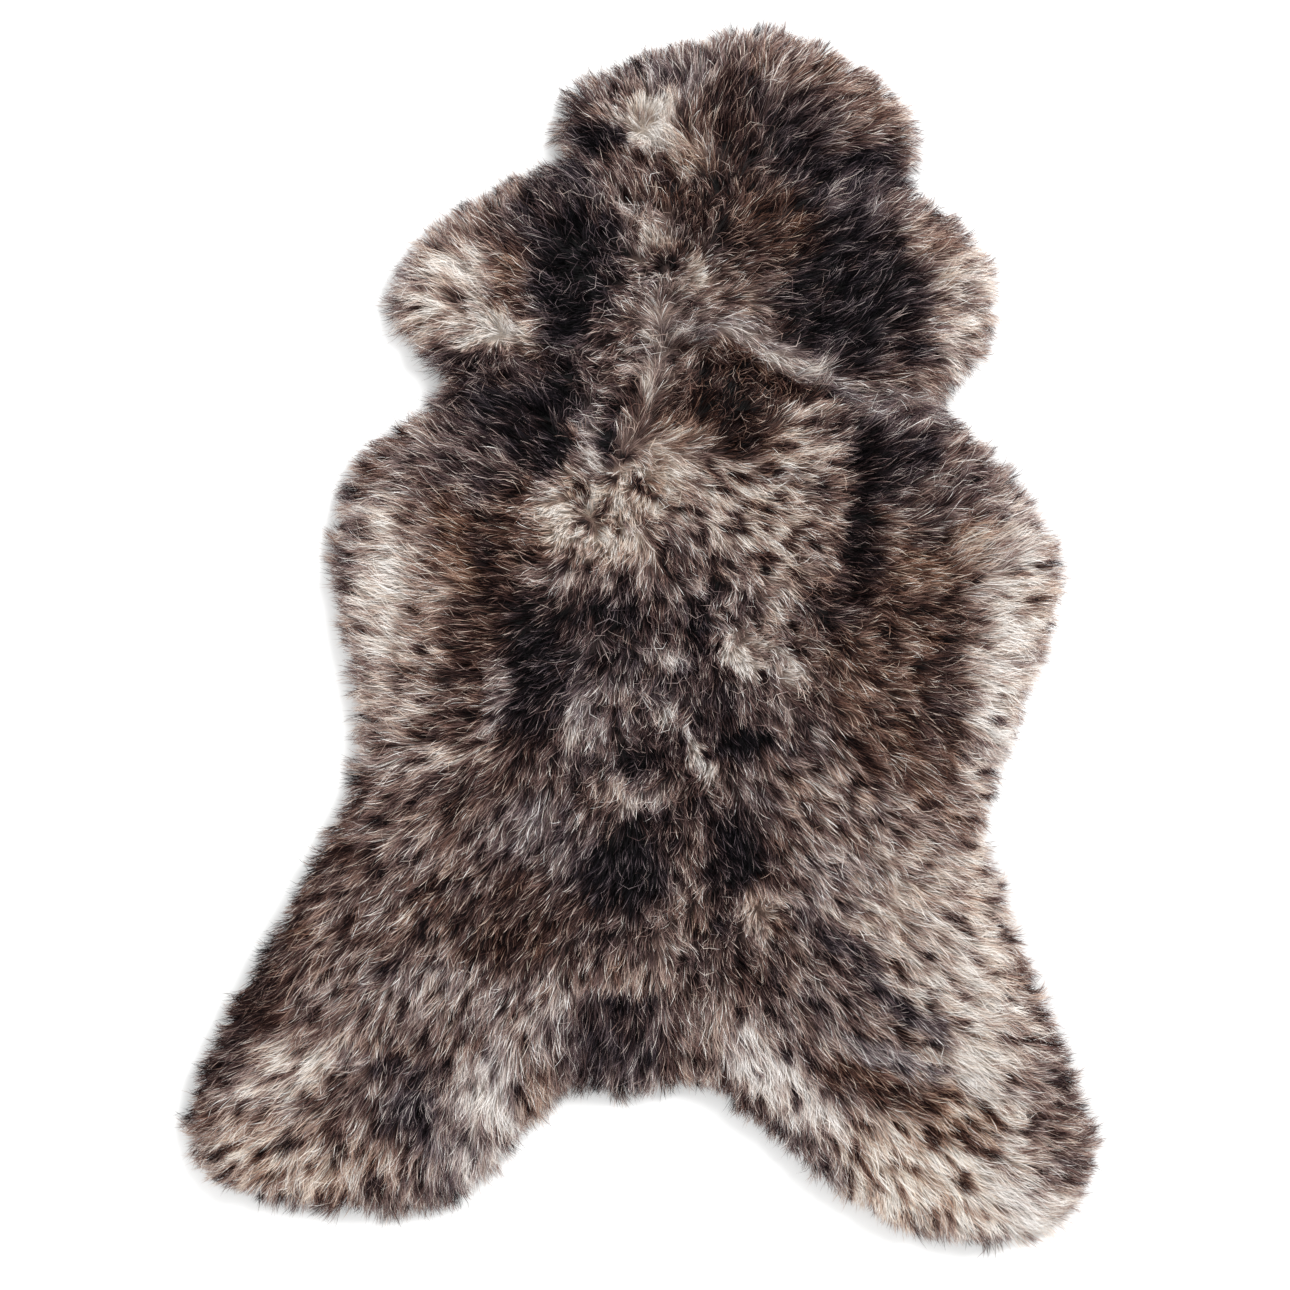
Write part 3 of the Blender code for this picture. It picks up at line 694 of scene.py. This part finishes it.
def wool_roots(count, fields):
    """Points inside the rim, closer together on the wool's steep side and where it is upright."""
    high = Field.low + np.array([Field.nx, Field.ny]) * GRID_STEP
    roots = np.empty((0, 2))
    while len(roots) < count:
        tries = Field.low + rng.random((count * TRIES, 2)) * (high - Field.low)
        depth = fields["depth"].at(tries)
        crowding = 1 + SIDE_CROWDING * np.exp(-np.maximum(depth - ROOT_DEPTH, 0) / SIDE_DEPTH)
        crowding = crowding + UPRIGHT_CROWDING * (1 - fields["lean"].at(tries))
        chosen = rng.random(len(tries)) < crowding / (1 + SIDE_CROWDING)
        roots = np.vstack([roots, tries[(depth > ROOT_DEPTH) & chosen]])
    return roots[:count]


def nearness(points, place):
    """How near each point is to a table's place, from 0 far from it to 1 there."""
    apart = ((points - (place.x * MM, place.y * MM)) ** 2).sum(1)
    return np.exp(-apart / (place.reach * MM) ** 2)


def ruffled(points):
    """How ruffled the wool is at each point, up to 1."""
    return np.max([nearness(points, r) for r in RUFFLED], axis=0)


def wispy(points):
    """How much longer the wool is at each point."""
    return np.max([w.longer * MM * nearness(points, w) for w in WISPS], axis=0)


class Strands:
    """One piece's strands: what they draw by chance, how they lie and their colours."""

    def __init__(self, roots, fields, cells, draws):
        self.roots, self.fields = roots, fields
        self.tuft, tuft_no = cells["tufts"].nearest(roots)
        self.point, point_no = cells["points"].nearest(roots)
        self.own = OwnDraws(*rng.standard_normal((len(roots), DRAWS)).T)
        self.of_tuft = TuftDraws(*draws["tufts"][tuft_no].T)
        self.of_point = PointDraws(*draws["points"][point_no].T)
        self.stray = rng.random(len(roots)) < STRAY_SHARE
        self.ruffle = ruffled(self.tuft)
        self.curly = rng.random(len(roots)) < CURLY_SHARE * self.ruffle
        self.chance = rng.random(len(roots))
        self.lean = fields["lean"].at(self.point)

    def vary(self, quality, spread):
        """What the tuft, the point and the strand draw for a quality, each by its own spread."""
        of = (self.of_tuft, self.of_point, self.own)
        return sum(share * getattr(draws, quality) for share, draws in zip(spread, of))

    def flow(self):
        """The way that each strand lies at its root."""
        veer = self.vary("veer", Vary(
            VEER.tuft + RUFFLED_VEER.tuft * self.ruffle,
            VEER.point + RUFFLED_VEER.point * self.ruffle,
            np.where(self.stray, STRAY_VEER, VEER.strand),
        ))
        veer = veer + np.where(self.curly, CURLY_VEER * self.own.warmth, 0)
        return turned(unit(self.fields["flow"].at(self.point)), veer)

    def reach(self):
        """How far each strand runs over the pelt, which near the rim is little past it."""
        depth = self.fields["depth"].at(self.roots)
        wisps = wispy(self.roots)
        long = 1 - smoothstep(LONG_WITHIN, SHORT_FROM, depth)
        reach = (SHORT_REACH + (LONG_REACH - SHORT_REACH) * long) * self.lean
        reach = reach * (1 + self.vary("reach", REACH)) * (1 - RUFFLED_SHORTER * self.ruffle)
        reach = reach * (1 + wisps / LONG_REACH)
        spread = PAST._replace(tuft=PAST.tuft + WISP_VARIES * wisps)
        past = PAST_RIM + WISP_PAST * wisps + self.vary("past", spread)
        most = depth + np.clip(past, LEAST_PAST, MOST_PAST + wisps)
        return np.clip(reach, LEAST_REACH, np.maximum(most, LEAST_REACH))

    def plan(self):
        """Each strand from root to tip as seen from above, and its heading at each point."""
        tight = np.sign(self.own.bend) * (CURLY_BEND + CURLY_BEND_VARIES * self.own.along)
        bend = np.where(self.curly, tight, self.vary("bend", BEND))
        heading = turned(self.flow()[:, None], bend[:, None] * (SHARES - BEND_FROM))
        run = self.reach()[:, None] * SHARES**REACH_POWER
        plan = self.roots[:, None] + heading * run[..., None]
        gather = np.where(self.stray | self.curly, LOOSE, 1.0)[:, None] * SHARES**GATHER_POWER
        to_point = (GATHERED + GATHER_VARIES * self.of_point.gather).clip(0, MOST_GATHERED)
        to_tuft = TUFTED + RUFFLED_TUFTED * self.ruffle
        plan -= (self.roots - self.point)[:, None] * (to_point[:, None] * gather)[..., None]
        plan -= (self.point - self.tuft)[:, None] * (to_tuft[:, None] * gather)[..., None]
        return plan, heading

    def heights(self, plan):
        """Each strand's height from root to tip, as it rises from the under layer to the pile."""
        under, pile = self.fields["under"].at(plan), self.fields["pile"].at(plan)
        loft = self.vary("loft", LOFT) + np.where(self.curly, CURLY_LOFT, 0)
        rise = 1 - (1 - SHARES) ** RISE_POWER
        room = np.clip(pile / FULL_LOFT_HEIGHT, 0, 1)
        height = under + (pile - under) * rise + loft[:, None] * rise * room
        height[:, 0] -= ROOT_SUNK
        least = LEAST_HEIGHT + LEAST_HEIGHT_VARIES * np.abs(self.own.tone)[:, None] * SHARES
        return np.maximum(height, least)

    def colours(self, plan, heading):
        """Each strand's shade from root to tip, and its warmth, from the pelt's markings."""
        along = MARK_STRAYS * self.own.along * self.lean
        seen = plan[:, 2:3] + heading[:, 2:3] * along[:, None, None]
        marks = self.fields["marks"].at((plan + seen) / 2)
        shade, warmth = marks[..., 0], marks[:, 2, 1]
        tone = self.vary("tone", TONE) + np.where(self.chance > PALE_FROM, PALER, 0)
        tone = tone - np.where(self.chance < DARK_BELOW, DARKER, 0)
        shade = shade + tone[:, None] * (TONE_ON_BLACK + TONE_BY_SHADE * np.sqrt(shade))
        curly = CURLY_SHADE + CURLY_BY_SHADE * shade + CURLY_VARIES * self.own.veer[:, None]
        shade = np.where(self.curly[:, None], curly, shade)
        warmth = warmth + TUFT_WARMTH * self.of_tuft.warmth + STRAND_WARMTH * self.own.warmth
        return np.clip(shade, 0, 1), np.clip(warmth, 0, 1)


def ribbons(paths):
    """The points of a narrow pointed ribbon along each path."""
    n = len(paths)
    tangent = unit(np.gradient(paths, axis=1))
    side = unit(np.cross(tangent, np.array([0.0, 0.0, 1.0])))
    roll = rng.uniform(-ROLL, ROLL, (n, 1, 1))
    roll = roll + rng.uniform(-TWIST, TWIST, (n, 1, 1)) * SHARES[:, None]
    side = side * np.cos(roll) + np.cross(tangent, side) * np.sin(roll)
    width = (1 + WIDTH_VARIES * rng.standard_normal((n, 1))).clip(*WIDTH_LIMITS)
    half = STRAND_WIDTH / 2 * width * WIDTHS
    left = paths[:, :3] - side[:, :3] * half[..., None]
    right = paths[:, :3] + side[:, :3] * half[..., None]
    pairs = np.stack([left, right], axis=2).reshape(n, -1, 3)
    points = np.concatenate([pairs, paths[:, 3:]], axis=1)
    points[..., 2] = np.maximum(points[..., 2], FLOOR_GAP)
    return points


def write_values(mesh, **values):
    """Numbers at each of a mesh's points, under the names that its material reads."""
    for label, numbers in values.items():
        layer = mesh.attributes.new(label, "FLOAT", "POINT")
        layer.data.foreach_set("value", numbers.astype(np.float32).ravel())


def wool_mesh(name, strands):
    """The strands as one mesh, with a chart that gives each a cell of its own."""
    plan, heading = strands.plan()
    shade, warmth = strands.colours(plan, heading)
    points = ribbons(np.concatenate([plan, strands.heights(plan)[..., None]], axis=2))
    n, size = points.shape[:2]
    along = SHARES[PAIRED]

    corners = np.concatenate(RIBBON)
    firsts = np.cumsum([0] + [len(face) for face in RIBBON[:-1]])
    loops = (np.arange(n)[:, None] * size + corners).ravel()
    starts = (np.arange(n)[:, None] * len(corners) + firsts).ravel()
    mesh = bpy.data.meshes.new(name)
    mesh.vertices.add(n * size)
    mesh.loops.add(len(loops))
    mesh.polygons.add(len(starts))
    mesh.vertices.foreach_set("co", points.astype(np.float32).ravel())
    mesh.loops.foreach_set("vertex_index", loops.astype(np.int32))
    mesh.polygons.foreach_set("loop_start", starts.astype(np.int32))
    mesh.polygons.foreach_set("use_smooth", np.ones(len(starts), bool))
    write_values(
        mesh, shade=shade[:, PAIRED], warmth=np.repeat(warmth, size),
        chance=np.repeat(strands.chance, size), along=np.tile(along, n),
    )

    grid = math.ceil(math.sqrt(n))
    cell = np.stack([np.arange(n) % grid, np.arange(n) // grid], axis=1)
    sideways = np.array([0, 1, 0, 1, 0, 1, 0.5])
    within = CHART_MARGIN + (1 - 2 * CHART_MARGIN) * np.stack([along, sideways], axis=1)
    spread = (cell[:, None] + within).reshape(-1, 2)[loops] / grid
    chart = mesh.uv_layers.new(name="OFBake")
    chart.data.foreach_set("uv", spread.astype(np.float32).ravel())
    mesh.update(calc_edges=True)
    mesh.validate()
    return bpy.data.objects.new(name, mesh)


# The wool's under layer and the hide


def hexagonal(spacing, loop, clear):
    """Points in offset rows inside a loop, clear of its edge."""
    low, high = loop.min(0), loop.max(0)
    rows = np.arange(low[1], high[1], spacing * math.sqrt(3) / 2)
    spread = []
    for i, y in enumerate(rows):
        x = np.arange(low[0] + (i % 2) * spacing / 2, high[0], spacing)
        spread.append(np.stack([x, np.full(len(x), y)], axis=1))
    spread = np.concatenate(spread)
    far = np.linalg.norm(spread - nearest_on(spread, loop), axis=1) > clear
    return spread[far & inside(spread, loop)]


def drawn_in(loop, inset, spacing):
    """A closed loop drawn in by an inset, with its points about a spacing apart."""
    closed = np.vstack([loop, loop[:1]])
    along = np.concatenate([[0], np.cumsum(np.linalg.norm(np.diff(closed, axis=0), axis=1))])
    at = np.linspace(0, along[-1], round(along[-1] / spacing), endpoint=False)
    even = np.stack([np.interp(at, along, closed[:, k]) for k in range(2)], axis=1)
    ahead = unit(np.roll(even, -1, axis=0) - np.roll(even, 1, axis=0))
    left = np.stack([-ahead[:, 1], ahead[:, 0]], axis=1)
    left_is_in = inside(even + left * PROBE, loop).mean() > 0.5
    return even + left * (inset if left_is_in else -inset)


def slab_mesh(name, ring, ring_height, *sides):
    """A closed slab with one edge ring, and two sides of points with their heights."""
    shape = bmesh.new()
    edge = [shape.verts.new((*p, ring_height)) for p in ring]
    for inner, heights in sides:
        plan = [Vector(p) for p in np.vstack([ring, inner])]
        found, _, triangles, *_ = delaunay_2d_cdt(plan, [], [list(range(len(ring)))], 1, 1e-7)
        own = [shape.verts.new((p.x, p.y, z)) for p, z in zip(found[len(ring) :], heights)]
        corners = edge + own
        for triangle in triangles:
            shape.faces.new([corners[i] for i in triangle])
    bmesh.ops.recalc_face_normals(shape, faces=shape.faces)
    mesh = bpy.data.meshes.new(name)
    shape.to_mesh(mesh)
    shape.free()
    mesh.shade_smooth()
    return bpy.data.objects.new(name, mesh)


def make_under_wool(rim, fields):
    """The layer that the strands grow from, whose underside lifts over the hide."""
    ring = drawn_in(rim, UNDER_INSET, RING_STEP)
    top = hexagonal(TOP_STEP, ring, TOP_CLEAR)
    under = hexagonal(UNDERSIDE_STEP, ring, UNDERSIDE_CLEAR)
    rough = 1 + ROUGHNESS * noise_at(top, ROUGH_SCALE, 2.0)
    top_height = np.maximum(fields["under"].at(top) * rough, LEAST_TOP)
    lifted = smoothstep(LIFT_FROM, LIFT_FULL, fields["depth"].at(under))
    under_side = (under, UNDERSIDE_HEIGHT + HIDE_LIFT * lifted)
    under_wool = slab_mesh("under_wool", ring, RING_HEIGHT, (top, top_height), under_side)
    marks = fields["marks"].at(np.array([v.co.xy for v in under_wool.data.vertices]))
    write_values(under_wool.data, shade=marks[:, 0], warmth=marks[:, 1])
    return under_wool


def make_skin():
    """The tanned hide: the CAD sheet with eased edges."""
    shape = bmesh.new()
    shape.from_mesh(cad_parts["hide"].data)
    bmesh.ops.remove_doubles(shape, verts=shape.verts, dist=MERGE)
    corners = [e for e in shape.edges if e.calc_face_angle(0) > CORNER]
    bmesh.ops.bevel(
        shape, geom=corners, offset=0.0006, offset_type="OFFSET", segments=2, profile=0.5,
        affect="EDGES",
    )
    mesh = bpy.data.meshes.new("skin")
    shape.to_mesh(mesh)
    shape.free()
    mesh.shade_smooth()
    mesh.set_sharp_from_angle(angle=CREASE)
    return bpy.data.objects.new("skin", mesh)


# Materials


def srgb(code):
    """The linear colour of a hexadecimal sRGB one."""
    parts = [int(code[i : i + 2], 16) / 255 for i in (0, 2, 4)]
    return (*(c / 12.92 if c <= 0.04045 else ((c + 0.055) / 1.055) ** 2.4 for c in parts), 1.0)


def grey(level):
    return (level, level, level, 1.0)


class Nodes:
    """A material's node tree, built by short calls."""

    def __init__(self, name):
        self.material = bpy.data.materials.new(name)
        self.material.use_nodes = True
        self.tree = self.material.node_tree
        self.shader = self.tree.nodes["Principled BSDF"]

    def add(self, kind, values=(), **settings):
        node = self.tree.nodes.new(kind)
        for key, value in settings.items():
            setattr(node, key, value)
        for key, value in dict(values).items():
            self.put(node.inputs[key], value)
        return node

    def put(self, socket, value):
        if isinstance(value, bpy.types.NodeSocket):
            self.tree.links.new(value, socket)
        else:
            socket.default_value = value

    def set(self, **values):
        for key, value in values.items():
            self.put(self.shader.inputs[key.replace("_", " ")], value)

    def attribute(self, name):
        return self.add("ShaderNodeAttribute", attribute_name=name).outputs["Fac"]

    def math(self, operation, a, b, c=0.0):
        node = self.add("ShaderNodeMath", {0: a, 1: b, 2: c}, operation=operation)
        return node.outputs[0]

    def spread(self, value, low, high, start=0.0, end=1.0):
        """A value that goes from start to end, made to go from low to high."""
        values = {0: value, 1: start, 2: end, 3: low, 4: high}
        return self.add("ShaderNodeMapRange", values).outputs[0]

    def noise(self, scale, detail=3.0, roughness=0.55, stretch=(1, 1, 1)):
        place = self.add("ShaderNodeTexCoord").outputs["Object"]
        mapped = self.add("ShaderNodeMapping", {"Vector": place, "Scale": stretch})
        values = {"Vector": mapped.outputs[0], "Scale": scale, "Detail": detail,
                  "Roughness": roughness}
        return self.add("ShaderNodeTexNoise", values).outputs["Fac"]

    def ramp(self, value, stops):
        node = self.add("ShaderNodeValToRGB", {0: value})
        ramp = node.color_ramp
        while len(ramp.elements) < len(stops):
            ramp.elements.new(0.5)
        for element, (at, colour) in zip(ramp.elements, stops):
            element.position, element.color = at, colour
        return node.outputs["Color"]

    def mix(self, share, a, b, how="MIX"):
        node = self.add("ShaderNodeMix", data_type="RGBA", blend_type=how)
        for socket, value in zip((node.inputs[0], node.inputs[6], node.inputs[7]), (share, a, b)):
            self.put(socket, value)
        return node.outputs[2]

    def bump(self, height, strength, distance):
        values = {"Height": height, "Strength": strength, "Distance": distance}
        return self.add("ShaderNodeBump", values).outputs[0]


COOL_WOOL = [
    (0.0, srgb("040405")), (0.10, srgb("110f13")), (0.2, srgb("2a242a")), (0.42, srgb("6f6166")),
    (0.64, srgb("b4a6a4")), (0.84, srgb("e2d9d3")), (1.0, srgb("f9f6f4")),
]
WARM_WOOL = [
    (0.0, srgb("090404")), (0.10, srgb("22110f")), (0.2, srgb("432920")), (0.42, srgb("87604e")),
    (0.64, srgb("c9a68f")), (0.84, srgb("ecd9c4")), (1.0, srgb("faf4ec")),
]
# How much a strand is darkened from root to tip: its dark roots and painted shade deep in the pile
ROOT_DARKENING_AND_DEPTH_SHADE = [(0.0, grey(0.16)), (0.45, grey(0.58)), (0.8, grey(1.0))]
# How far the under layer is darkened, on black and on white wool: dark roots and painted shade deep
# in the pile
UNDER_WOOL_ROOTS_AND_SHADE = (0.22, 0.21, 0.21, 1), (0.70, 0.66, 0.62, 1)
SUEDE = [(0.3, srgb("b29d80")), (0.55, srgb("c9b799")), (0.75, srgb("d9cab0"))]
NAP = [(0.3, srgb("d8d2c8")), (0.7, srgb("ffffff"))]
PAPER = [(0.0, srgb("f4f4f3")), (1.0, srgb("fafafa"))]


def wool_colour(nodes, shade):
    """Wool's own colour at a shade: grey or brown as the warmth says."""
    cool, warm = nodes.ramp(shade, COOL_WOOL), nodes.ramp(shade, WARM_WOOL)
    return nodes.mix(nodes.attribute("warmth"), cool, warm)


def streaked(nodes, noise_value, amount):
    """The mesh's own shade, lightened and darkened by a noise."""
    middle = nodes.math("SUBTRACT", nodes.attribute("shade"), amount / 2)
    return nodes.math("MULTIPLY_ADD", noise_value, amount, middle)


def wool_material():
    """Strands: dark roots and painted depth shade, paler tips on some, and a soft sheen."""
    nodes = Nodes("combed wool")
    along, chance = nodes.attribute("along"), nodes.attribute("chance")
    tip = nodes.spread(along, 0.0, 1.0, start=0.45)
    pale = nodes.spread(chance, 0.02, 0.30, start=0.55)
    shade = nodes.math("MULTIPLY_ADD", tip, pale, streaked(nodes, nodes.noise(160.0), 0.14))
    # Pale wool is darkened less at the root by the painted shade and dark roots
    pale_roots = nodes.math("MULTIPLY", nodes.attribute("shade"), 0.7)
    roots_and_depth_shade = nodes.mix(pale_roots, nodes.ramp(along, ROOT_DARKENING_AND_DEPTH_SHADE), grey(1.0))
    colour = nodes.mix(1.0, wool_colour(nodes, shade), roots_and_depth_shade, "MULTIPLY")
    rough = nodes.spread(nodes.noise(90.0), 0.42, 0.62)
    nodes.set(Base_Color=colour, Roughness=rough, Specular_IOR_Level=0.06)
    return nodes.material


def under_wool_material():
    """The wool between the strands: its dark roots and painted shade deep in the pile."""
    nodes = Nodes("under wool")
    fibres = nodes.noise(420.0, detail=5.0, roughness=0.7)
    own = wool_colour(nodes, streaked(nodes, fibres, 0.24))
    # Painted shade deep in the pile, with the dark roots
    deep_roots_and_shade = nodes.mix(nodes.attribute("shade"), *UNDER_WOOL_ROOTS_AND_SHADE)
    nodes.set(Base_Color=nodes.mix(1.0, own, deep_roots_and_shade, "MULTIPLY"),
              Roughness=nodes.spread(fibres, 0.75, 0.95),
              Normal=nodes.bump(fibres, 0.6, 0.0015))
    return nodes.material


def skin_material():
    """Pale suede: cloudy, finely napped and a little wrinkled."""
    nodes = Nodes("suede skin")
    clouds = nodes.noise(9.0, detail=4.0)
    nap = nodes.noise(700.0, detail=4.0, roughness=0.7)
    wrinkles = nodes.noise(38.0, detail=6.0, roughness=0.6, stretch=(1.0, 1.7, 1.0))
    height = nodes.math("MULTIPLY_ADD", wrinkles, 1.0, nodes.math("MULTIPLY", nap, 0.35))
    base, speckle = nodes.ramp(clouds, SUEDE), nodes.ramp(nap, NAP)
    nodes.set(Base_Color=nodes.mix(1.0, base, speckle, "MULTIPLY"),
              Roughness=nodes.spread(nap, 0.8, 0.95),
              Specular_IOR_Level=0.2, Sheen_Weight=0.25, Sheen_Roughness=0.5,
              Normal=nodes.bump(height, 0.5, 0.0012))
    return nodes.material


def floor_material():
    nodes = Nodes("white floor")
    nodes.set(Base_Color=nodes.ramp(nodes.noise(3.0), PAPER), Roughness=0.9,
              Specular_IOR_Level=0.1)
    return nodes.material


# The scene


def link(thing):
    bpy.context.scene.collection.objects.link(thing)


def show(thing, material, node):
    """Puts a piece in the scene in place of a CAD node."""
    link(thing)
    thing.data.materials.append(material)
    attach(thing, "root")
    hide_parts(node)


def make_pelt():
    rim, fields = read_pelt()
    show(make_under_wool(rim, fields), under_wool_material(), "fleece")

    cells = {"tufts": Cells(TUFT_SPACING), "points": Cells(POINT_SPACING)}
    draws = {name: of_kind.draws() for name, of_kind in cells.items()}
    wool = wool_material()
    for i in range(FUR_PIECES):
        strands = Strands(wool_roots(STRANDS, fields), fields, cells, draws)
        show(wool_mesh(f"wool_{i + 1}", strands), wool, "fleece")

    skin = make_skin()
    show(skin, skin_material(), "hide")


def make_floor():
    bpy.ops.mesh.primitive_plane_add(size=FLOOR_SIZE, location=(0, 0, 0))
    floor = bpy.context.object
    floor.name = "floor"
    floor.data.materials.append(floor_material())


def make_lamp(row):
    light = bpy.data.lights.new(row.name, "AREA")
    light.shape = "DISK"
    light.size, light.energy = row.size, row.power
    lamp = bpy.data.objects.new(row.name, light)
    lamp.location = row.place
    lamp.rotation_euler = (-Vector(row.place)).to_track_quat("-Z", "Y").to_euler()
    link(lamp)


def make_studio():
    scene = bpy.context.scene
    for row in LAMPS:
        make_lamp(row)
    world = bpy.data.worlds.new("studio")
    world.use_nodes = True
    background = world.node_tree.nodes["Background"]
    background.inputs["Color"].default_value = grey(1.0)
    background.inputs["Strength"].default_value = ROOM_LIGHT
    scene.world = world
    scene.view_settings.view_transform = "Standard"

    eye = bpy.data.cameras.new("camera")
    eye.lens = CAMERA_LENS
    camera = bpy.data.objects.new("camera", eye)
    camera.location = CAMERA_AT
    camera.rotation_euler = (0, 0, math.radians(CAMERA_ROLL))
    link(camera)
    scene.camera = camera


make_floor()
make_pelt()
make_studio()
